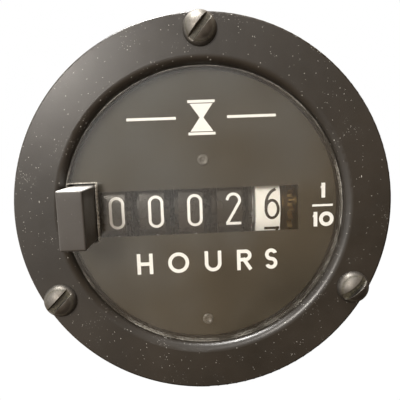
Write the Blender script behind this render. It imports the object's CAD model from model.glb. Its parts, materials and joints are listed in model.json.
"""Looks for a round panel hour meter with push reset.

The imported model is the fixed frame. Its nodes keep their shapes and get procedural finishes here,
and finer pieces take over where a plain solid falls short: the screws, the reset button with its
return spring, and the printing on the number wheels. Sizes in the classes below are millimetres.
"""

import json
import logging
import math
from dataclasses import dataclass
from enum import Enum

import bpy
import numpy as np
from mathutils import Matrix, Vector

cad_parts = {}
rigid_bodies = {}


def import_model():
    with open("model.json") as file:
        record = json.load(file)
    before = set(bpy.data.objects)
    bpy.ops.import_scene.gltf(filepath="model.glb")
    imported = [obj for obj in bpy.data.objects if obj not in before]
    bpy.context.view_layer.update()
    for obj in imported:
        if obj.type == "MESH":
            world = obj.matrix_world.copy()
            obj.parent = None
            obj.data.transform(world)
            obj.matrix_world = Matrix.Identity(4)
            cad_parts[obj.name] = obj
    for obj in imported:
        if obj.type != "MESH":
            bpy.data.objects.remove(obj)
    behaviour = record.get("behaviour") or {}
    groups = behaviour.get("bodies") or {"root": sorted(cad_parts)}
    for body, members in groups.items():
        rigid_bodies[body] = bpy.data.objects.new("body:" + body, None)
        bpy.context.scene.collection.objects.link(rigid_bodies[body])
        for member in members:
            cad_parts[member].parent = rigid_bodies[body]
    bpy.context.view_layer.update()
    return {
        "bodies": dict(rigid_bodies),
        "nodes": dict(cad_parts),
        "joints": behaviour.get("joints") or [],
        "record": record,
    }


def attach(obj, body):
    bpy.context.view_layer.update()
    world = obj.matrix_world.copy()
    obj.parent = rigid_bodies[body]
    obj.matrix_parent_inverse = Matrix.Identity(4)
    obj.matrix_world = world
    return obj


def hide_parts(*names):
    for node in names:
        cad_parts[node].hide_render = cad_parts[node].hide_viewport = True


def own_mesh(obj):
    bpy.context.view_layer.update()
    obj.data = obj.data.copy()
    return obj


MM = 0.001
LOG = logging.getLogger("hour_meter")
SHARP_ANGLE = math.radians(40)
WHEEL_STEP = 36.0

Pair = tuple[float, float]
Triple = tuple[float, float, float]
Rgb = tuple[float, float, float]
Rgba = tuple[float, float, float, float]
Mesh = tuple[np.ndarray, np.ndarray]


# ---- meshes ---------------------------------------------------------------------------


def grid_faces(rows: int, columns: int, wrap_rows: bool = False, wrap_columns: bool = False) -> np.ndarray:
    """Quads joining a grid of points numbered row by row.

    Args:
        rows: number of rows of points.
        columns: number of points in a row.
        wrap_rows: joins the last row to the first.
        wrap_columns: joins the last point of each row to its first.

    Returns:
        One row of four point numbers for each quad.
    """
    i = np.arange(rows if wrap_rows else rows - 1)[:, None]
    j = np.arange(columns if wrap_columns else columns - 1)[None, :]
    i_next, j_next = (i + 1) % rows, (j + 1) % columns
    corners = [i * columns + j, i * columns + j_next, i_next * columns + j_next, i_next * columns + j]
    return np.stack([np.broadcast_to(c, np.broadcast_shapes(i.shape, j.shape)).ravel() for c in corners], axis=1)


def joined(parts: list[Mesh]) -> Mesh:
    """Several meshes as one.

    Args:
        parts: each mesh's points and quads.

    Returns:
        All points and all quads, the quads renumbered.
    """
    offsets = np.cumsum([0] + [len(points) for points, _ in parts[:-1]])
    points = np.concatenate([p for p, _ in parts])
    quads = np.concatenate([q + offset for (_, q), offset in zip(parts, offsets)])
    return points, quads


def make_mesh(name: str, points: np.ndarray, quads: np.ndarray, smooth: bool = True) -> bpy.types.Object:
    """A mesh object from points in millimetres and quads.

    Args:
        name: the object's name.
        points: one row of X, Y and Z for each point, in the row frame.
        quads: one row of four point numbers for each face, outward by the right-hand rule.
        smooth: shades the faces smooth, with edges over 40 degrees left sharp.

    Returns:
        The new object, linked to the scene.
    """
    mesh = bpy.data.meshes.new(name)
    mesh.vertices.add(len(points))
    mesh.vertices.foreach_set("co", (np.asarray(points, np.float32) * MM).ravel())
    mesh.loops.add(quads.size)
    mesh.loops.foreach_set("vertex_index", quads.astype(np.int32).ravel())
    mesh.polygons.add(len(quads))
    mesh.polygons.foreach_set("loop_start", np.arange(0, quads.size, 4, dtype=np.int32))
    mesh.update(calc_edges=True)
    mesh.validate()
    mesh.polygons.foreach_set("use_smooth", np.full(len(mesh.polygons), smooth))
    if smooth:
        mesh.set_sharp_from_angle(angle=SHARP_ANGLE)
    made = bpy.data.objects.new(name, mesh)
    bpy.context.scene.collection.objects.link(made)
    LOG.info("%s: %d points, %d faces", name, len(points), len(quads))
    return made


def arc(centre: Pair, radii: Pair, start: float, end: float, steps: int = 28) -> np.ndarray:
    """Points along an ellipse's arc.

    Args:
        centre: the ellipse's middle.
        radii: its two radii.
        start: first angle in degrees.
        end: last angle in degrees.
        steps: number of points.

    Returns:
        One row of two numbers for each point.
    """
    a = np.radians(np.linspace(start, end, steps))
    return np.stack([centre[0] + radii[0] * np.cos(a), centre[1] + radii[1] * np.sin(a)], axis=1)


def line(start: Pair, end: Pair, steps: int = 14) -> np.ndarray:
    """Points evenly spaced along a straight line.

    Args:
        start: first point.
        end: last point.
        steps: number of points.

    Returns:
        One row of two numbers for each point.
    """
    return np.linspace(np.array(start, float), np.array(end, float), steps)


def ribbon(path: np.ndarray, width: float, cap: float = 0.0) -> Mesh:
    """A flat stroke of even width along a path.

    Each path point gives one point half a width to its left and one to its right, square to the
    path's direction there. The ends are carried on by the cap.

    Args:
        path: points in the plane.
        width: the stroke's width.
        cap: how far both ends are carried on.

    Returns:
        Points in the plane and the quads that join them.
    """
    path = np.array(path, float)
    along = np.gradient(path, axis=0)
    along /= np.linalg.norm(along, axis=1)[:, None]
    path[0] -= cap * along[0]
    path[-1] += cap * along[-1]
    across = np.stack([-along[:, 1], along[:, 0]], axis=1) * width / 2
    points = np.stack([path + across, path - across], axis=1).reshape(-1, 2)
    return points, grid_faces(len(path), 2)[:, ::-1]


class Glyph:
    """Centrelines of the figures on the number wheels."""

    def __init__(self, width: float, height: float) -> None:
        """Sets the box of the centrelines.

        Args:
            width: width of the box.
            height: height of the box.
        """
        self.w = width
        self.h = height

    def strokes(self, figure: int) -> list[np.ndarray]:
        """The centrelines of one figure.

        Args:
            figure: the figure, from 0 to 9.

        Returns:
            One array of points for each stroke.
        """
        w, h = self.w, self.h
        r = w / 2
        six = [
            np.concatenate(
                [arc((w * 1.02, h * 0.42), (w * 1.02, h * 0.56), 106, 180), line((0, h * 0.42), (0, h * 0.3), 6)]
            ),
            arc((r, h * 0.3), (r, h * 0.3), 0, 360, 48),
        ]
        shapes = {
            0: [
                np.concatenate(
                    [
                        arc((r, h - r), (r, r), 0, 180)[:-1],
                        line((0, h - r), (0, r))[:-1],
                        arc((r, r), (r, r), 180, 360)[:-1],
                        line((w, r), (w, h - r)),
                    ]
                )
            ],
            1: [line((w * 0.55, 0), (w * 0.55, h)), line((w * 0.2, h * 0.82), (w * 0.55, h), 5)],
            2: [
                np.concatenate(
                    [arc((r, h - r), (r, r), 165, -35), line((w * 0.86, h - w * 0.86), (0.02 * w, 0.05 * h), 12)]
                ),
                line((0, 0), (w, 0), 8),
            ],
            3: [arc((r, h * 0.76), (r * 0.92, h * 0.24), 150, -90), arc((r, h * 0.27), (r, h * 0.27), 90, -150)],
            4: [
                line((w * 0.74, 0), (w * 0.74, h)),
                line((w * 0.74, h), (0, h * 0.3)),
                line((0, h * 0.3), (w, h * 0.3), 8),
            ],
            5: [
                line((w * 0.94, h), (w * 0.1, h), 8),
                line((w * 0.1, h), (w * 0.04, h * 0.5), 8),
                arc((r * 0.9, h * 0.31), (r * 1.1, h * 0.3), 140, -150),
            ],
            6: six,
            7: [line((0, h), (w, h), 8), line((w, h), (w * 0.3, 0))],
            8: [
                arc((r, h * 0.75), (r * 0.88, h * 0.25), 0, 360, 48),
                arc((r, h * 0.26), (r, h * 0.26), 0, 360, 48),
            ],
            9: [np.array([w, h]) - stroke for stroke in six],
        }
        return shapes[figure]


# ---- finishes -------------------------------------------------------------------------


class Graph:
    """A material's node tree, with short calls for the nodes that the finishes share."""

    def __init__(self, name: str) -> None:
        """Starts an empty material.

        Args:
            name: the material's name.
        """
        self.material = bpy.data.materials.new(name)
        self.material.use_nodes = True
        self.tree = self.material.node_tree
        self.tree.nodes.clear()
        coordinates = self.add("ShaderNodeTexCoord").outputs
        self.place = coordinates["Object"]
        self.facing = coordinates["Normal"]

    def add(self, kind: str, **inputs: object) -> bpy.types.Node:
        """Adds a node; each input is a value or another node's output.

        Args:
            kind: the node's type.
            inputs: values by input name, with spaces as underscores.

        Returns:
            The new node.
        """
        made = self.tree.nodes.new(kind)
        for key, value in inputs.items():
            self.put(made.inputs[key.replace("_", " ")], value)
        return made

    def put(self, socket: bpy.types.NodeSocket, value: object) -> None:
        """Links an output to a socket, or sets the socket's own value.

        Args:
            socket: the input to feed.
            value: a number, a colour or another node's output.
        """
        if isinstance(value, bpy.types.NodeSocket):
            self.tree.links.new(value, socket)
        else:
            socket.default_value = value

    def math(self, operation: str, a: object, b: object = 0.0, clamp: bool = False) -> bpy.types.NodeSocket:
        """One scalar operation."""
        made = self.tree.nodes.new("ShaderNodeMath")
        made.operation = operation
        made.use_clamp = clamp
        self.put(made.inputs[0], a)
        self.put(made.inputs[1], b)
        return made.outputs[0]

    def stretched(self, scale: Triple, turn: Triple = (0, 0, 0)) -> bpy.types.NodeSocket:
        """Object coordinates scaled and turned.

        Args:
            scale: the factor on each axis.
            turn: the angle about each axis, in degrees.

        Returns:
            The coordinates.
        """
        angles = tuple(math.radians(t) for t in turn)
        return self.add("ShaderNodeMapping", Vector=self.place, Scale=scale, Rotation=angles).outputs[0]

    def noise(
        self, size: float, detail: float = 3.0, rough: float = 0.5, place: object = None
    ) -> bpy.types.NodeSocket:
        """Soft noise.

        Args:
            size: how far apart its blobs are, in millimetres.
            detail: number of finer layers.
            rough: strength of the finer layers.
            place: coordinates, or None for the object's own.

        Returns:
            The noise, from 0 to 1.
        """
        where = place or self.place
        made = self.add("ShaderNodeTexNoise", Vector=where, Scale=1 / (size * MM), Detail=detail, Roughness=rough)
        return made.outputs["Fac"]

    def ramp(
        self, value: object, low: float, high: float, start: float = 0.0, end: float = 1.0
    ) -> bpy.types.NodeSocket:
        """Maps one range to another and clamps the result.

        Args:
            value: what is mapped.
            low: the value that gives the start.
            high: the value that gives the end.
            start: result at and below low.
            end: result at and above high.

        Returns:
            The mapped value.
        """
        made = self.add("ShaderNodeMapRange", Value=value, From_Min=low, From_Max=high, To_Min=start, To_Max=end)
        return made.outputs[0]

    def mix(self, share: object, a: object, b: object) -> bpy.types.NodeSocket:
        """Blends two colours.

        Args:
            share: how much of the second colour shows.
            a: the first colour.
            b: the second colour.

        Returns:
            The blend.
        """
        made = self.tree.nodes.new("ShaderNodeMix")
        made.data_type = "RGBA"
        self.put(made.inputs[0], share)
        self.put(made.inputs[6], a)
        self.put(made.inputs[7], b)
        return made.outputs[2]

    def specks(self, cell: float, radius: float, share: float, place: object = None) -> bpy.types.NodeSocket:
        """Scattered dots: about one in each cell, kept in a share of the cells.

        Args:
            cell: spacing of the cells in millimetres.
            radius: radius of a dot as a share of the cell.
            share: share of the cells that hold a dot.
            place: coordinates, or None for the object's own.

        Returns:
            1 inside a dot and 0 outside.
        """
        cells = self.add("ShaderNodeTexVoronoi", Vector=place or self.place, Scale=1 / (cell * MM))
        chance = self.add("ShaderNodeSeparateColor", Color=cells.outputs["Color"]).outputs
        kept = self.math("LESS_THAN", chance[0], share)
        reach = self.math("MULTIPLY", chance[1], radius)
        inside = self.ramp(self.math("SUBTRACT", cells.outputs["Distance"], reach), 0.0, -0.02)
        return self.math("MULTIPLY", kept, inside)

    def bump(self, height: object, depth: float, strength: float = 1.0) -> bpy.types.NodeSocket:
        """A normal bent by a height map.

        Args:
            height: the map, from 0 to 1.
            depth: its depth in millimetres.
            strength: share of the bend that is used.

        Returns:
            The normal.
        """
        return self.add("ShaderNodeBump", Height=height, Distance=depth * MM, Strength=strength).outputs[0]

    def principled(self, **inputs: object) -> bpy.types.Material:
        """Ends the tree in a principled shader.

        Args:
            inputs: values by input name, with spaces as underscores.

        Returns:
            The finished material.
        """
        shader = self.add("ShaderNodeBsdfPrincipled", **inputs)
        return self.finish(shader.outputs[0])

    def finish(self, shader: bpy.types.NodeSocket) -> bpy.types.Material:
        """Ends the tree.

        Args:
            shader: the output that gives the surface.

        Returns:
            The finished material.
        """
        self.add("ShaderNodeOutputMaterial", Surface=shader)
        return self.material


def rgba(colour: Rgb) -> Rgba:
    """A colour with full alpha."""
    return (*colour, 1.0)


@dataclass(frozen=True)
class Moulding:
    """Dusty moulded plastic with a fine grain."""

    name: str
    dark: Rgb
    light: Rgb
    roughness: float = 0.42
    dust: float = 1.0
    grain: float = 0.012
    settled: float = 0.0
    dust_colour: Rgb = (0.6, 0.59, 0.55)
    settled_colour: Rgb = (0.6, 0.59, 0.57)

    def build(self) -> bpy.types.Material:
        """The finish as a material."""
        g = Graph(self.name)
        cloud = g.noise(14, 4, 0.6)
        fine = g.noise(0.35, 3, 0.6)
        tone = g.mix(g.ramp(cloud, 0.3, 0.72), rgba(self.dark), rgba(self.light))
        tone = g.mix(g.ramp(fine, 0.35, 0.75, 0, 0.25), tone, rgba(self.light))
        dots = g.math("ADD", g.specks(1.0, 0.12, 0.8 * self.dust), g.specks(0.55, 0.15, 0.3 * self.dust))
        lint = g.specks(2.0, 0.05, 0.5 * self.dust, g.stretched((1, 1, 0.25), (0, 35, 0)))
        drift = g.math("MULTIPLY", g.specks(0.32, 0.3, 0.6 * self.dust), g.ramp(g.noise(6, 3, 0.6), 0.56, 0.68))
        dirt = g.math("MULTIPLY", g.math("ADD", g.math("ADD", dots, lint), drift, True), 0.8)
        colour = g.mix(dirt, tone, rgba(self.dust_colour))
        if self.settled:
            up = g.add("ShaderNodeSeparateXYZ", Vector=g.facing).outputs["Z"]
            uneven = g.ramp(g.noise(0.45, 3, 0.7), 0.36, 0.5, 0.35, 1.0)
            heap = g.math("MULTIPLY", g.ramp(up, 0.35, 0.8), uneven)
            colour = g.mix(g.math("MULTIPLY", heap, self.settled), colour, rgba(self.settled_colour))
        rough = g.ramp(g.noise(3, 4, 0.6), 0.3, 0.7, self.roughness - 0.03, self.roughness + 0.05)
        normal = g.bump(g.noise(0.22, 2, 0.5), self.grain)
        return g.principled(Base_Color=colour, Roughness=rough, Normal=normal, Specular_IOR_Level=0.5)


@dataclass(frozen=True)
class Metal:
    """Metal with streaks, stains and fine scratches."""

    name: str
    base: Rgb
    stain: Rgb
    roughness: float = 0.32
    stain_share: float = 0.4
    brush: Triple = (1, 1, 0.06)

    def build(self) -> bpy.types.Material:
        """The finish as a material."""
        g = Graph(self.name)
        cloud = g.noise(2.4, 5, 0.65)
        streak = g.noise(0.12, 3, 0.6, g.stretched(self.brush))
        colour = g.mix(g.ramp(cloud, 0.42, 0.72, 0, self.stain_share), rgba(self.base), rgba(self.stain))
        rough = g.ramp(streak, 0.3, 0.7, self.roughness - 0.08, self.roughness + 0.12)
        normal = g.bump(streak, 0.004)
        colour, metallic = self.finish_colour(g, colour)
        return g.principled(Base_Color=colour, Metallic=metallic, Roughness=rough, Normal=normal)

    def finish_colour(self, g: Graph, colour: bpy.types.NodeSocket) -> tuple[object, object]:
        """The colour as it is, and fully metallic.

        Args:
            g: the material's graph.
            colour: the metal's colour.

        Returns:
            The colour and how metallic it is.
        """
        return colour, 1.0


@dataclass(frozen=True)
class SlottedSteel(Metal):
    """Screw steel whose slots are full of dark dirt."""

    circle: float = 31.3
    angles: tuple[float, ...] = (90, 210, 330)
    reach: float = 2.55
    dirt_level: Pair = (-3.95, -3.6)
    dirt: tuple[Rgb, Rgb] = ((0.012, 0.011, 0.006), (0.07, 0.06, 0.035))

    def finish_colour(self, g: Graph, colour: bpy.types.NodeSocket) -> tuple[object, object]:
        """Darkens what lies deep and well inside a head.

        Args:
            g: the material's graph.
            colour: the steel's own colour.

        Returns:
            The colour and how metallic it is. The mask is 1 deeper than the dirt level and nearer to
            a screw's axis than the reach.
        """
        parts = g.add("ShaderNodeSeparateXYZ", Vector=g.place).outputs
        near = None
        for angle in self.angles:
            x = g.math("SUBTRACT", parts["X"], self.circle * MM * math.cos(math.radians(angle)))
            z = g.math("SUBTRACT", parts["Z"], self.circle * MM * math.sin(math.radians(angle)))
            apart = g.math("SQRT", g.math("ADD", g.math("MULTIPLY", x, x), g.math("MULTIPLY", z, z)))
            near = apart if near is None else g.math("MINIMUM", near, apart)
        inside = g.ramp(near, (self.reach - 0.15) * MM, self.reach * MM, 1.0, 0.0)
        deep = g.ramp(parts["Y"], self.dirt_level[0] * MM, self.dirt_level[1] * MM)
        dirt = g.math("MULTIPLY", inside, deep)
        grit = g.mix(g.ramp(g.noise(0.25, 3, 0.7), 0.4, 0.65), rgba(self.dirt[0]), rgba(self.dirt[1]))
        return g.mix(dirt, colour, grit), g.math("SUBTRACT", 1.0, dirt)


@dataclass(frozen=True)
class Plastic:
    """Clean plastic or paint with a slight unevenness, and grease below one X if that is given."""

    name: str
    base: Rgb
    shade: Rgb
    roughness: float = 0.4
    subsurface: float = 0.0
    grain: float = 0.005
    patch: float = 1.6
    specular: float = 0.5
    grease_to: float | None = None
    grease: Rgb = (0.03, 0.027, 0.022)

    def build(self) -> bpy.types.Material:
        """The finish as a material."""
        g = Graph(self.name)
        colour = g.mix(g.ramp(g.noise(self.patch, 2, 0.5), 0.35, 0.75), rgba(self.base), rgba(self.shade))
        if self.grease_to is not None:
            x = g.add("ShaderNodeSeparateXYZ", Vector=g.place).outputs["X"]
            greased = g.ramp(x, (self.grease_to - 0.05) * MM, self.grease_to * MM, 1.0, 0.0)
            colour = g.mix(greased, colour, rgba(self.grease))
        rough = g.ramp(g.noise(self.patch / 2, 2), 0.3, 0.7, self.roughness - 0.05, self.roughness + 0.08)
        inputs = {"Normal": g.bump(g.noise(0.3, 2), self.grain)} if self.grain else {}
        inputs |= {"Specular_IOR_Level": self.specular, "Subsurface_Weight": self.subsurface}
        return g.principled(Base_Color=colour, Roughness=rough, Subsurface_Scale=0.0008, **inputs)


@dataclass(frozen=True)
class ClearLens:
    """Clear acrylic: see-through, with a faint gloss, hairline scratches and dust."""

    name: str
    gloss: float = 1.0
    dust: float = 1.0
    rim: float = 25.45
    slot_middle: float = -22.2
    slot_half: Pair = (2.45, 5.45)
    tint: Rgb = (0.965, 0.96, 0.94)
    dust_colour: Rgb = (0.72, 0.7, 0.65)

    def build(self) -> bpy.types.Material:
        """The finish as a material.

        The gloss is 0.04 face on and rises with the fifth power of the slant, the same on both faces.
        """
        g = Graph(self.name)
        scratch = g.noise(0.3, 2, 0.5, g.stretched((1, 1, 0.02), (0, 28, 0)))
        hair = g.ramp(scratch, 0.7, 0.78, 0, 0.05)
        clear = g.add("ShaderNodeBsdfTransparent", Color=rgba(self.tint)).outputs[0]
        shine = g.add("ShaderNodeBsdfGlossy", Color=(1, 1, 1, 1), Roughness=0.06).outputs[0]
        slant = g.math("POWER", g.add("ShaderNodeLayerWeight", Blend=0.5).outputs["Facing"], 5.0)
        edge = g.math("MULTIPLY", g.math("ADD", g.math("MULTIPLY", slant, 0.96), 0.04), self.gloss)
        glass = g.add("ShaderNodeMixShader", Fac=edge).outputs[0].node
        g.put(glass.inputs[1], clear)
        g.put(glass.inputs[2], shine)
        lint = g.specks(3.1, 0.05, 0.9 * self.dust, g.stretched((1, 1, 0.2), (0, -40, 0)))
        dots = g.math("ADD", g.specks(1.7, 0.075, 0.8 * self.dust), lint)
        film = g.ramp(g.noise(7, 2, 0.5), 0.45, 0.8, 0.0, 0.012)
        cover = g.math("ADD", g.math("MULTIPLY", dots, 0.6), g.math("ADD", film, hair), True)
        broken = g.ramp(g.noise(0.4, 3, 0.7), 0.42, 0.56)
        patchy = g.math("MULTIPLY", broken, g.ramp(g.noise(8, 2), 0.42, 0.6, 0.06, 0.8))
        cover = g.math("MAXIMUM", cover, g.math("MULTIPLY", self.edges(g), patchy))
        dust = g.add("ShaderNodeBsdfDiffuse", Color=rgba(self.dust_colour)).outputs[0]
        mixed = g.add("ShaderNodeMixShader", Fac=cover).outputs[0].node
        g.put(mixed.inputs[1], glass.outputs[0])
        g.put(mixed.inputs[2], dust)
        return g.finish(mixed.outputs[0])

    def edges(self, g: Graph) -> bpy.types.NodeSocket:
        """1 along the rim and round the button's slot, where dust gathers, and 0 elsewhere.

        Args:
            g: the material's graph.

        Returns:
            The larger of two masks: one rises over the last 0.2 mm inside the rim, and one falls
            over 0.2 mm outwards from the slot, measured by its larger coordinate.
        """
        parts = g.add("ShaderNodeSeparateXYZ", Vector=g.place).outputs
        flat = g.add("ShaderNodeCombineXYZ", X=parts["X"], Z=parts["Z"]).outputs[0]
        length = g.tree.nodes.new("ShaderNodeVectorMath")
        length.operation = "LENGTH"
        g.put(length.inputs[0], flat)
        rim = g.ramp(length.outputs["Value"], (self.rim - 0.2) * MM, (self.rim - 0.05) * MM, 0.0, 0.5)
        x = g.math("ABSOLUTE", g.math("SUBTRACT", parts["X"], self.slot_middle * MM))
        z = g.math("ABSOLUTE", parts["Z"])
        x = g.math("SUBTRACT", x, self.slot_half[0] * MM)
        z = g.math("SUBTRACT", z, self.slot_half[1] * MM)
        slot = g.ramp(g.math("MAXIMUM", x, z), 0.08 * MM, 0.22 * MM, 1.0, 0.0)
        return g.math("MAXIMUM", rim, slot)


@dataclass(frozen=True)
class Winding:
    """Enamelled wire wound in fine turns about the Y direction."""

    name: str
    wire: Rgb
    turn: float = 0.22

    def build(self) -> bpy.types.Material:
        """The finish as a material."""
        g = Graph(self.name)
        scale = 1 / (self.turn * MM) / 20
        wave = g.add("ShaderNodeTexWave", Vector=g.place, Scale=scale, Distortion=0.4, Detail=1.0)
        wave.bands_direction = "Y"
        groove = tuple(c * 0.35 for c in self.wire)
        colour = g.mix(g.ramp(wave.outputs["Fac"], 0.1, 0.9), rgba(groove), rgba(self.wire))
        normal = g.bump(wave.outputs["Fac"], 0.05)
        return g.principled(Base_Color=colour, Metallic=0.6, Roughness=0.3, Normal=normal, Coat_Weight=0.6)


class Finish(Enum):
    """Every finish of the meter, by the record's material slot."""

    BLACK_MOULDING = Moulding("black_moulding", (0.011, 0.009, 0.0068), (0.022, 0.018, 0.0142), 0.31)
    BUTTON_GREY = Moulding("button_grey", (0.034, 0.03, 0.0265), (0.05, 0.045, 0.04), 0.34, 1.5, 0.01, 0.9)
    DARK_SCREW_STEEL = SlottedSteel(
        "dark_screw_steel", (0.15, 0.14, 0.127), (0.055, 0.047, 0.038), 0.5, 0.8, (1, 1, 1)
    )
    CLEAR_LENS = ClearLens("clear_lens")
    DIAL_BLACK = Plastic("dial_black", (0.03, 0.0265, 0.0195), (0.038, 0.0335, 0.025), 0.6, 0.0, 0.0, 12.0, 0.2)
    RIVET_PAINT = Plastic("rivet_paint", (0.05, 0.048, 0.044), (0.15, 0.145, 0.135), 0.3, 0.0, 0.003, 0.6)
    DIAL_WHITE = Plastic("dial_white", (0.93, 0.95, 0.99), (0.86, 0.88, 0.92), 0.5)
    PLATED_STEEL = Metal("plated_steel", (0.55, 0.53, 0.47), (0.35, 0.32, 0.25), 0.34)
    BRIGHT_STEEL = Metal("bright_steel", (0.66, 0.65, 0.62), (0.45, 0.43, 0.4), 0.2, 0.3)
    WHEEL_BLACK = Plastic("wheel_black", (0.006, 0.005, 0.0038), (0.016, 0.0105, 0.0075), 0.24, 0.0, 0.002, 6.0)
    WHEEL_WHITE = Plastic("wheel_white", (0.86, 0.87, 0.88), (0.78, 0.78, 0.77), 0.4, 0.05, grease_to=9.85)
    NATURAL_NYLON = Plastic("natural_nylon", (0.62, 0.58, 0.46), (0.54, 0.5, 0.39), 0.42, 0.2)
    BRASS = Metal("brass", (0.42, 0.3, 0.13), (0.2, 0.13, 0.055), 0.36)
    STATOR_STEEL = Metal("stator_steel", (0.42, 0.42, 0.41), (0.25, 0.24, 0.22), 0.4)
    COPPER_WINDING = Winding("copper_winding", (0.62, 0.24, 0.1))
    FERRITE = Moulding("ferrite", (0.03, 0.03, 0.033), (0.055, 0.055, 0.058), 0.6, 0.0, 0.03)
    LEAD_RED = Plastic("lead_red", (0.42, 0.03, 0.02), (0.33, 0.025, 0.02), 0.38)
    BLANK_LABEL = Plastic("blank_label", (0.62, 0.62, 0.58), (0.55, 0.55, 0.5), 0.3)

    @property
    def material(self) -> bpy.types.Material:
        """The finish's material, built on first use."""
        if self.name not in BUILT:
            BUILT[self.name] = self.value.build()
        return BUILT[self.name]


BUILT: dict[str, bpy.types.Material] = {}


def dress(piece: bpy.types.Object, finish: Finish, body: str) -> bpy.types.Object:
    """Gives a new piece its finish, slot and body.

    Args:
        piece: the object.
        finish: its finish.
        body: the moving body that it rides on.

    Returns:
        The same object.
    """
    piece.data.materials.clear()
    piece.data.materials.append(finish.material)
    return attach(piece, body)


# ---- pieces ---------------------------------------------------------------------------


@dataclass
class NumberWheels:
    """The printed figures round the five number wheels."""

    axis: Pair = (14.6, -0.6)
    radius: float = 12.4
    print_height: float = 0.03
    centres: tuple[float, ...] = (-16.6, -9.2, -1.8, 5.6, 13.0)
    bodies: tuple[str, ...] = ("thousands", "hundreds", "tens", "hours", "tenths")
    readings: tuple[float, ...] = (0, 0, 0, 2, 6.1)
    figure: Pair = (2.35, 5.7)
    stroke: float = 0.55

    def build(self) -> list[bpy.types.Object]:
        """One printed set for each wheel."""
        made = []
        for index, body in enumerate(self.bodies):
            points, quads = self.figures(self.centres[index], self.readings[index])
            piece = make_mesh(f"{body}_figures", points, quads)
            last = index == len(self.bodies) - 1
            made.append(dress(piece, Finish.WHEEL_BLACK if last else Finish.DIAL_WHITE, body))
        return made

    def figures(self, centre: float, reading: float) -> Mesh:
        """All ten figures wrapped round one wheel.

        A point at height v over the middle of figure k sits at the angle (reading - k) x 36 degrees
        + v / radius over the front of the wheel, so the front reads the reading.

        Args:
            centre: X of the figures' middle.
            reading: the number at the front, with the share of a step that it has moved on.

        Returns:
            Points and quads.
        """
        width, height = self.figure
        glyph = Glyph(width, height)
        reach = self.radius + self.print_height
        parts = []
        for k in range(10):
            for stroke in glyph.strokes(k):
                flat, quads = ribbon(stroke - [width / 2, height / 2], self.stroke, self.stroke / 2)
                angle = np.radians((reading - k) * WHEEL_STEP) + flat[:, 1] / self.radius
                points = np.stack(
                    [
                        centre + flat[:, 0],
                        self.axis[0] - reach * np.cos(angle),
                        self.axis[1] + reach * np.sin(angle),
                    ],
                    axis=1,
                )
                parts.append((points, quads[:, ::-1]))
        return joined(parts)


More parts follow.
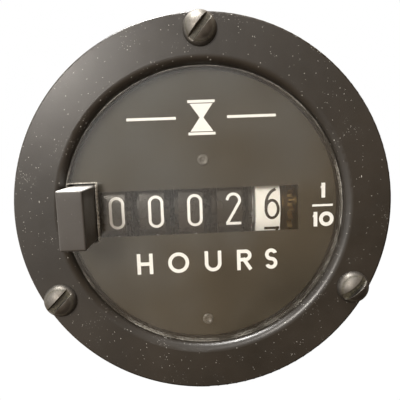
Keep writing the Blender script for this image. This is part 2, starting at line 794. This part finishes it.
@dataclass
class MountingScrews:
    """Three domed screws with a worn slot, and their shanks."""

    circle: float = 31.3
    angles: tuple[float, ...] = (90, 210, 330)
    slot_turns: tuple[float, ...] = (50, 45, 40)
    head_radius: float = 3.0
    head_height: float = 2.2
    edge_height: float = 0.45
    slot_width: float = 1.05
    slot_depth: float = 1.3
    slot_round: float = 0.14
    flange_front: float = -2.4
    rim_round: float = 0.3
    shank_radius: float = 1.75
    shank_end: float = 12.0
    shank_plain: float = 0.3
    shank_tip: float = 0.8
    sink: float = 0.05
    thread_pitch: float = 0.8
    thread_depth: float = 0.4

    def build(self) -> bpy.types.Object:
        """The three screws as one piece."""
        parts = []
        for angle, turn in zip(self.angles, self.slot_turns):
            at = self.circle * np.array([math.cos(math.radians(angle)), math.sin(math.radians(angle))])
            for points, quads in (self.head(turn), self.shank()):
                parts.append((points + [at[0], 0, at[1]], quads))
        piece = make_mesh("slotted_screws", *joined(parts))
        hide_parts("mounting_screws")
        return dress(piece, Finish.DARK_SCREW_STEEL, "case")

    def head(self, turn: float) -> Mesh:
        """One head, about the origin.

        The head is rows of points across the slot direction. Row u runs along the slot for
        sqrt(R^2 - u^2) to each side. Height is a spherical dome that rolls over at the rim, less a
        slot whose walls are a smooth step about half a slot width from the middle.

        Args:
            turn: the slot's angle from X towards Z, in degrees.

        Returns:
            Points and quads of a closed head.
        """
        edge = self.slot_width / 2
        u = np.unique(
            np.concatenate(
                [
                    np.linspace(-self.head_radius, self.head_radius, 61),
                    np.linspace(edge - 0.25, edge + 0.25, 21),
                    np.linspace(-edge - 0.25, -edge + 0.25, 21),
                ]
            )
        )
        s = np.sin(np.linspace(-math.pi / 2, math.pi / 2, 61))
        across, along = np.meshgrid(u, s, indexing="ij")
        along = along * np.sqrt(np.maximum(self.head_radius**2 - across**2, 0))
        r = np.hypot(across, along)
        rise = self.head_height - self.edge_height
        dome = (self.head_radius**2 + rise**2) / (2 * rise)
        height = self.edge_height + np.sqrt(dome**2 - r**2) - (dome - rise)
        rim = np.clip((r - (self.head_radius - self.rim_round)) / self.rim_round, 0, 1)
        height = height - self.rim_round * (1 - np.sqrt(1 - rim**2))
        step = np.clip((edge + self.slot_round - np.abs(across)) / (2 * self.slot_round), 0, 1)
        floor = self.head_height - self.slot_depth
        height = np.where(height > floor, height - (height - floor) * step * step * (3 - 2 * step), height)
        angle = math.radians(turn)
        x = along * math.cos(angle) - across * math.sin(angle)
        z = along * math.sin(angle) + across * math.cos(angle)
        top = np.stack([x, self.flange_front - height, z], axis=-1).reshape(-1, 3)
        bottom = np.stack([x, np.full_like(x, self.flange_front), z], axis=-1).reshape(-1, 3)
        rows, columns = x.shape
        cover = grid_faces(rows, columns)
        wall = []
        for column, flip in ((0, False), (columns - 1, True)):
            start = np.arange(rows - 1) * columns + column
            quad = np.stack([start, start + columns, start + columns + len(top), start + len(top)], axis=1)
            wall.append(quad[:, ::-1] if flip else quad)
        quads = np.concatenate([cover[:, ::-1], *wall, cover + len(top)])
        return np.concatenate([top, bottom]), quads

    def shank(self) -> Mesh:
        """One threaded shank, about the origin.

        The radius at each height and angle is the shank's, less a triangle wave of the height over
        the pitch, moved on by the angle, so that the crests run round as a thread.
        """
        start = self.flange_front + self.sink
        y = np.linspace(start, self.shank_end, 150)
        a = np.linspace(0, 2 * np.pi, 36, endpoint=False)
        yy, aa = np.meshgrid(y, a, indexing="ij")
        phase = (yy / self.thread_pitch + aa / (2 * np.pi)) % 1.0
        depth = np.where(yy < self.shank_plain, 0, self.thread_depth * np.abs(phase - 0.5) * 2)
        taper = np.clip((self.shank_end - yy) / self.shank_tip, 0, 1)
        r = self.shank_radius - depth - 0.5 * (1 - taper)
        wall = np.stack([r * np.cos(aa), yy, r * np.sin(aa)], axis=-1).reshape(-1, 3)
        rows, columns = yy.shape
        first, last = (np.tile([[0.0, end, 0.0]], (columns, 1)) for end in (start, self.shank_end))
        return np.concatenate([first, wall, last]), grid_faces(rows + 2, columns, wrap_columns=True)


@dataclass
class ResetButton:
    """The reset button: a cap with rounded edges, its stop lip, its stems and the spring's pin."""

    centre_x: float = -22.2
    size: Pair = (4.4, 10.0)
    front: float = -10.8
    lip: Pair = (2.7, 3.5)
    lip_size: Pair = (4.1, 12.8)
    lip_reach: float = 2.0
    lip_rounding: float = 0.15
    stem_x: float = -23.5
    stem_width: float = 1.4
    stem_rounding: float = 0.12
    low_stem: Triple = (16.0, -4.9, 2.6)
    high_stem: Triple = (23.9, -2.4, 1.5)
    sink: float = 0.1
    pin_z: float = -3.65
    pin_radius: float = 0.5
    pin_ends: Pair = (15.9, 26.5)
    pin_rounding: float = 0.3
    rounding: float = 0.38

    def build(self) -> bpy.types.Object:
        """The whole button as one piece."""
        width, height = self.size
        left = self.centre_x - width / 2
        lip_left = self.centre_x - self.lip_reach
        lip_right = lip_left + self.lip_size[0]
        lip_half = self.lip_size[1] / 2
        cap_depth = (self.front, self.lip[0] + self.sink)
        parts = [
            self.block((left, left + width), cap_depth, (-height / 2, height / 2), self.rounding),
            self.block((lip_left, lip_right), self.lip, (-lip_half, lip_half), self.lip_rounding),
            self.stem(*self.low_stem),
            self.stem(*self.high_stem),
            self.pin(),
        ]
        piece = make_mesh("reset_push_button", *joined(parts))
        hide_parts("reset_button")
        return dress(piece, Finish.BUTTON_GREY, "button")

    def block(
        self, x: Pair, y: Pair, z: Pair, rounding: float
    ) -> Mesh:
        """A rounded block.

        Args:
            x: its two ends along X.
            y: its two ends along Y.
            z: its two ends along Z.
            rounding: radius of its edges.

        Returns:
            Points and quads.
        """
        low, high = np.array([x[0], y[0], z[0]]), np.array([x[1], y[1], z[1]])
        points, quads = rounded_box((high - low) / 2, rounding, 10)
        return points + (low + high) / 2, quads

    def stem(self, end: float, bottom: float, height: float) -> Mesh:
        """One flat stem, which starts at the lip.

        Args:
            end: Y of its end.
            bottom: Z of its lower side.
            height: its height.

        Returns:
            Points and quads.
        """
        half = self.stem_width / 2
        x = (self.stem_x - half, self.stem_x + half)
        return self.block(x, (self.lip[1] - self.sink, end), (bottom, bottom + height), self.stem_rounding)

    def pin(self) -> Mesh:
        """The pin inside the return spring, with a rounded end.

        The radius stays even and ends as a quarter circle over its last 0.3 mm.
        """
        start, end = self.pin_ends
        bend = end - self.pin_rounding
        a = np.linspace(0.1, math.pi / 2, 8)
        y = np.concatenate([[start, start, bend], bend + self.pin_rounding * np.sin(a), [end]])
        curve = self.pin_radius - self.pin_rounding * (1 - np.cos(a))
        r = np.concatenate([[0, self.pin_radius, self.pin_radius], curve, [0]])
        return turned(y, r, (self.stem_x, self.pin_z), 28)


@dataclass
class DialRivets:
    """Two painted rivets: a low head with a worn ridge round a shallow dish, and a shank."""

    heights: Pair = (8.9, -21.8)
    seat: float = 1.2
    head_height: float = 0.25
    head_radius: float = 1.05
    dish_radius: float = 0.6
    dish_depth: float = 0.12
    shank_radius: float = 0.6
    shank_end: float = 4.3

    def build(self) -> bpy.types.Object:
        """Both rivets as one piece.

        From the middle outwards the head is flat at the dish's depth, climbs by a raised cosine to
        the ridge, and falls to the seat as a quarter circle.
        """
        top = self.seat - self.head_height
        t = np.linspace(0, 1, 12)
        dish_r = self.dish_radius * 0.6 + (self.dish_radius * 0.5) * t
        dish_y = top + self.dish_depth * (1 + np.cos(math.pi * t)) / 2
        edge = self.head_height * 0.9
        a = t * math.pi / 2
        edge_r = self.head_radius - edge + edge * np.sin(a)
        edge_y = top + edge * (1 - np.cos(a))
        foot = [self.seat, self.seat, self.shank_end, self.shank_end]
        y = np.concatenate([[top + self.dish_depth], dish_y, edge_y, foot])
        r = np.concatenate([[0], dish_r, edge_r, [self.head_radius, self.shank_radius, self.shank_radius, 0]])
        piece = make_mesh("painted_rivets", *joined([turned(y, r, (0, z), 48) for z in self.heights]))
        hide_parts("dial_rivets")
        return dress(piece, Finish.RIVET_PAINT, "case")


@dataclass
class ReturnSpring:
    """The button's coil spring, with two closed turns at each end."""

    centre: Pair = (-23.5, -3.65)
    ends: Pair = (16.2, 32.8)
    coil_radius: float = 0.87
    wire_radius: float = 0.17
    wire_sides: int = 12
    closed_pitch: float = 0.36
    open_pitch: float = 1.7
    blend: Pair = (0.8, 1.6)
    turns: float = 11.0
    keep: float = 0.7

    def build(self) -> bpy.types.Object:
        """The spring, which shortens towards the gearbox as the button goes in.

        The wire's middle runs round the centre while it climbs. Its pitch is one wire for the first
        and last turn and even between them, blended by a smooth step.
        """
        t = np.linspace(0, self.turns, int(self.turns * 40))
        free = self.step(t, *self.blend) * self.step(self.turns - t, *self.blend)
        pitch = self.closed_pitch + self.open_pitch * free
        rise = np.concatenate([[0], np.cumsum((pitch[1:] + pitch[:-1]) / 2 * np.diff(t))])
        low, high = self.ends[0] + self.wire_radius, self.ends[1] - self.wire_radius
        y = low + rise / rise[-1] * (high - low)
        a = 2 * np.pi * t
        out = np.stack([np.cos(a), np.zeros_like(a), np.sin(a)], axis=1)
        axis = np.stack([np.full_like(y, self.centre[0]), y, np.full_like(y, self.centre[1])], axis=1)
        middle = axis + self.coil_radius * out
        along = np.gradient(middle, axis=0)
        along /= np.linalg.norm(along, axis=1)[:, None]
        side = np.cross(along, out)
        b = np.linspace(0, 2 * np.pi, self.wire_sides, endpoint=False)[None, :, None]
        rings = middle[:, None] + self.wire_radius * (np.cos(b) * out[:, None] + np.sin(b) * side[:, None])
        caps = [np.repeat(middle[k][None, None], self.wire_sides, axis=1) for k in (0, -1)]
        points = np.concatenate([caps[0], rings, caps[1]]).reshape(-1, 3)
        piece = make_mesh("coil_spring", points, grid_faces(len(t) + 2, self.wire_sides, wrap_columns=True))
        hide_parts("button_return_spring")
        dress(piece, Finish.BRIGHT_STEEL, "case")
        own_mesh(piece)
        return piece

    def step(self, t: np.ndarray, low: float, high: float) -> np.ndarray:
        """A smooth step.

        Args:
            t: where it is taken.
            low: where it leaves 0.
            high: where it reaches 1.

        Returns:
            The step, from 0 to 1.
        """
        s = np.clip((t - low) / (high - low), 0, 1)
        return s * s * (3 - 2 * s)


def turned(y: np.ndarray, r: np.ndarray, centre: Pair, sides: int) -> Mesh:
    """A profile turned about the Y direction.

    Args:
        y: distances along the axis, from the front.
        r: the radius at each distance.
        centre: X and Z of the axis.
        sides: points round the axis.

    Returns:
        Points and quads.
    """
    a = np.linspace(0, 2 * np.pi, sides, endpoint=False)
    x = centre[0] + r[:, None] * np.cos(a)
    z = centre[1] + r[:, None] * np.sin(a)
    points = np.stack([x, np.broadcast_to(y[:, None], x.shape), z], axis=-1).reshape(-1, 3)
    return points, grid_faces(len(y), sides, wrap_columns=True)


def rounded_box(half: np.ndarray, rounding: float, steps: int) -> Mesh:
    """A box with rounded edges, about the origin.

    Each face is a grid that is dense near its edges. Every point is pulled to the inner box, which
    is smaller by the rounding, and set out from there by the rounding along the line between them.

    Args:
        half: half of the size in X, Y and Z.
        rounding: radius of the edges.
        steps: points across each rounded edge.

    Returns:
        Points and quads.
    """
    parts = []
    for axis in range(3):
        b, c = (axis + 1) % 3, (axis + 2) % 3
        rows, columns = (
            np.unique(
                np.concatenate(
                    [
                        np.linspace(-half[k], -half[k] + rounding, steps),
                        np.linspace(-half[k] + rounding, half[k] - rounding, 8),
                        np.linspace(half[k] - rounding, half[k], steps),
                    ]
                )
            )
            for k in (b, c)
        )
        for side in (-1, 1):
            vb, vc = np.meshgrid(rows, columns, indexing="ij")
            points = np.zeros((*vb.shape, 3))
            points[..., axis] = side * half[axis]
            points[..., b] = vb
            points[..., c] = vc
            points = points.reshape(-1, 3)
            quads = grid_faces(*vb.shape)
            parts.append((points, quads[:, ::-1] if side > 0 else quads))
    points, quads = joined(parts)
    inner = np.clip(points, -(half - rounding), half - rounding)
    out = points - inner
    reach = np.linalg.norm(out, axis=1, keepdims=True)
    return inner + rounding * out / np.maximum(reach, 1e-9), quads[:, ::-1]


@dataclass
class CadFinishes:
    """Finishes for the nodes whose own shape stays."""

    def build(self, frame: dict) -> None:
        """Gives each node the finish of its material slot.
        """
        finishes = {finish.value.name: finish for finish in Finish}
        for entry in frame["record"]["subparts"]:
            node = frame["nodes"][entry["node"]]
            node.data.materials.clear()
            node.data.materials.append(finishes[entry["material_slot"]].material)
            LOG.info("%s: %s", entry["node"], entry["material_slot"])


# ---- studio ---------------------------------------------------------------------------


@dataclass
class Studio:
    """Camera, lamps, sky and floor."""

    camera_place: Triple = (-4.36, -84.78, 10.08)
    camera_aim: Triple = (-1.37, -2.4, -1.81)
    camera_roll: float = -2.06
    camera_shift: Pair = (0.004, 0.05)
    focal_length: float = 41.42
    floor_height: float = -180.0
    cool_side: Triple = (-0.75, -0.35, 0.8)
    dark: Rgba = (0.05, 0.032, 0.02, 1)
    warm: Rgba = (0.66, 0.48, 0.31, 1)
    cool: Rgba = (1.38, 1.34, 1.28, 1)

    def build(self) -> None:
        """Makes everything that lights or shows the meter."""
        self.camera()
        self.sky()
        self.floor()
        self.lamp("key_lamp", (-135, -290, 125), 100, 1.0, (1.0, 0.94, 0.87))
        self.lamp("top_lamp", (-70, 5, 320), 130, 3.6, (1.0, 0.98, 0.95))
        scene = bpy.context.scene
        scene.view_settings.view_transform = "Standard"
        scene.view_settings.look = "None"

    def camera(self) -> None:
        """The camera, aimed and then rolled about its own axis."""
        data = bpy.data.cameras.new("camera")
        data.lens = self.focal_length
        data.sensor_width = 36
        data.clip_start = 0.005
        data.shift_x, data.shift_y = self.camera_shift
        camera = bpy.data.objects.new("camera", data)
        bpy.context.scene.collection.objects.link(camera)
        place = Vector(self.camera_place) * MM
        look = (Vector(self.camera_aim) * MM - place).to_track_quat("-Z", "Y").to_matrix().to_4x4()
        roll = Matrix.Rotation(math.radians(self.camera_roll), 4, "Z")
        camera.matrix_world = Matrix.Translation(place) @ look @ roll
        bpy.context.scene.camera = camera

    def sky(self) -> None:
        """A white backdrop, and a room to reflect: grey above left, brown between, dark below right."""
        world = bpy.data.worlds.new("sky")
        bpy.context.scene.world = world
        world.use_nodes = True
        tree = world.node_tree
        tree.nodes.clear()

        def add(kind: str, links: dict[str, object], **settings: object) -> bpy.types.Node:
            """Adds a node with these settings and inputs."""
            made = tree.nodes.new(kind)
            for key, value in settings.items():
                setattr(made, key, value)
            for key, value in links.items():
                if isinstance(value, bpy.types.NodeSocket):
                    tree.links.new(value, made.inputs[key])
                else:
                    made.inputs[key].default_value = value
            return made

        place = add("ShaderNodeTexCoord", {}).outputs["Generated"]
        cloud = add("ShaderNodeTexNoise", {"Vector": place, "Scale": 5.0, "Detail": 3.0}).outputs["Fac"]
        lean = add("ShaderNodeVectorMath", {0: place, 1: self.cool_side}, operation="DOT_PRODUCT").outputs["Value"]
        patch = add("ShaderNodeMath", {0: cloud, 1: 1.0, 2: lean}, operation="MULTIPLY_ADD").outputs[0]
        low = add("ShaderNodeMapRange", {"Value": patch, "From Min": 0.0, "From Max": 0.5}).outputs[0]
        high = add("ShaderNodeMapRange", {"Value": patch, "From Min": 0.5, "From Max": 1.1}).outputs[0]
        shade = add("ShaderNodeMix", {0: low, 6: self.dark, 7: self.warm}, data_type="RGBA").outputs[2]
        room = add("ShaderNodeMix", {0: high, 6: shade, 7: self.cool}, data_type="RGBA").outputs[2]
        seen = add("ShaderNodeLightPath", {}).outputs["Is Camera Ray"]
        colour = add("ShaderNodeMix", {0: seen, 6: room, 7: (1, 1, 1, 1)}, data_type="RGBA").outputs[2]
        back = add("ShaderNodeBackground", {"Color": colour, "Strength": 1.0})
        out = add("ShaderNodeOutputWorld", {})
        tree.links.new(back.outputs[0], out.inputs["Surface"])

    def floor(self) -> None:
        """A pale floor well under the meter."""
        size = 1500.0
        corners = np.array([[-size, -size], [size, -size], [size, size], [-size, size]])
        points = np.column_stack([corners, np.full(4, self.floor_height)])
        floor = make_mesh("floor", points, np.array([[0, 1, 2, 3]]), smooth=False)
        g = Graph("floor_white")
        cloth = g.ramp(g.noise(60, 3), 0.3, 0.7, 1.0, 1.03)
        shader = g.add("ShaderNodeEmission", Color=(1, 1, 1, 1), Strength=cloth)
        floor.data.materials.append(g.finish(shader.outputs[0]))
        floor.visible_diffuse = False
        floor.visible_glossy = False

    def lamp(self, name: str, place: Triple, size: float, power: float, colour: Rgb) -> None:
        """A square lamp aimed at the meter.

        Args:
            name: the lamp's name.
            place: its middle, in millimetres.
            size: its side, in millimetres.
            power: its power in watts.
            colour: its colour.
        """
        data = bpy.data.lights.new(name, "AREA")
        data.size = size * MM
        data.energy = power
        data.color = colour
        lamp = bpy.data.objects.new(name, data)
        bpy.context.scene.collection.objects.link(lamp)
        lamp.location = Vector(place) * MM
        lamp.rotation_mode = "QUATERNION"
        lamp.rotation_quaternion = (-lamp.location).to_track_quat("-Z", "Y")


def main() -> None:
    """Builds the whole scene."""
    logging.basicConfig(level=logging.INFO, format="%(name)s: %(message)s")
    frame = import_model()
    CadFinishes().build(frame)
    NumberWheels().build()
    MountingScrews().build()
    ResetButton().build()
    ReturnSpring().build()
    DialRivets().build()
    Studio().build()


if __name__ == "__main__":
    main()
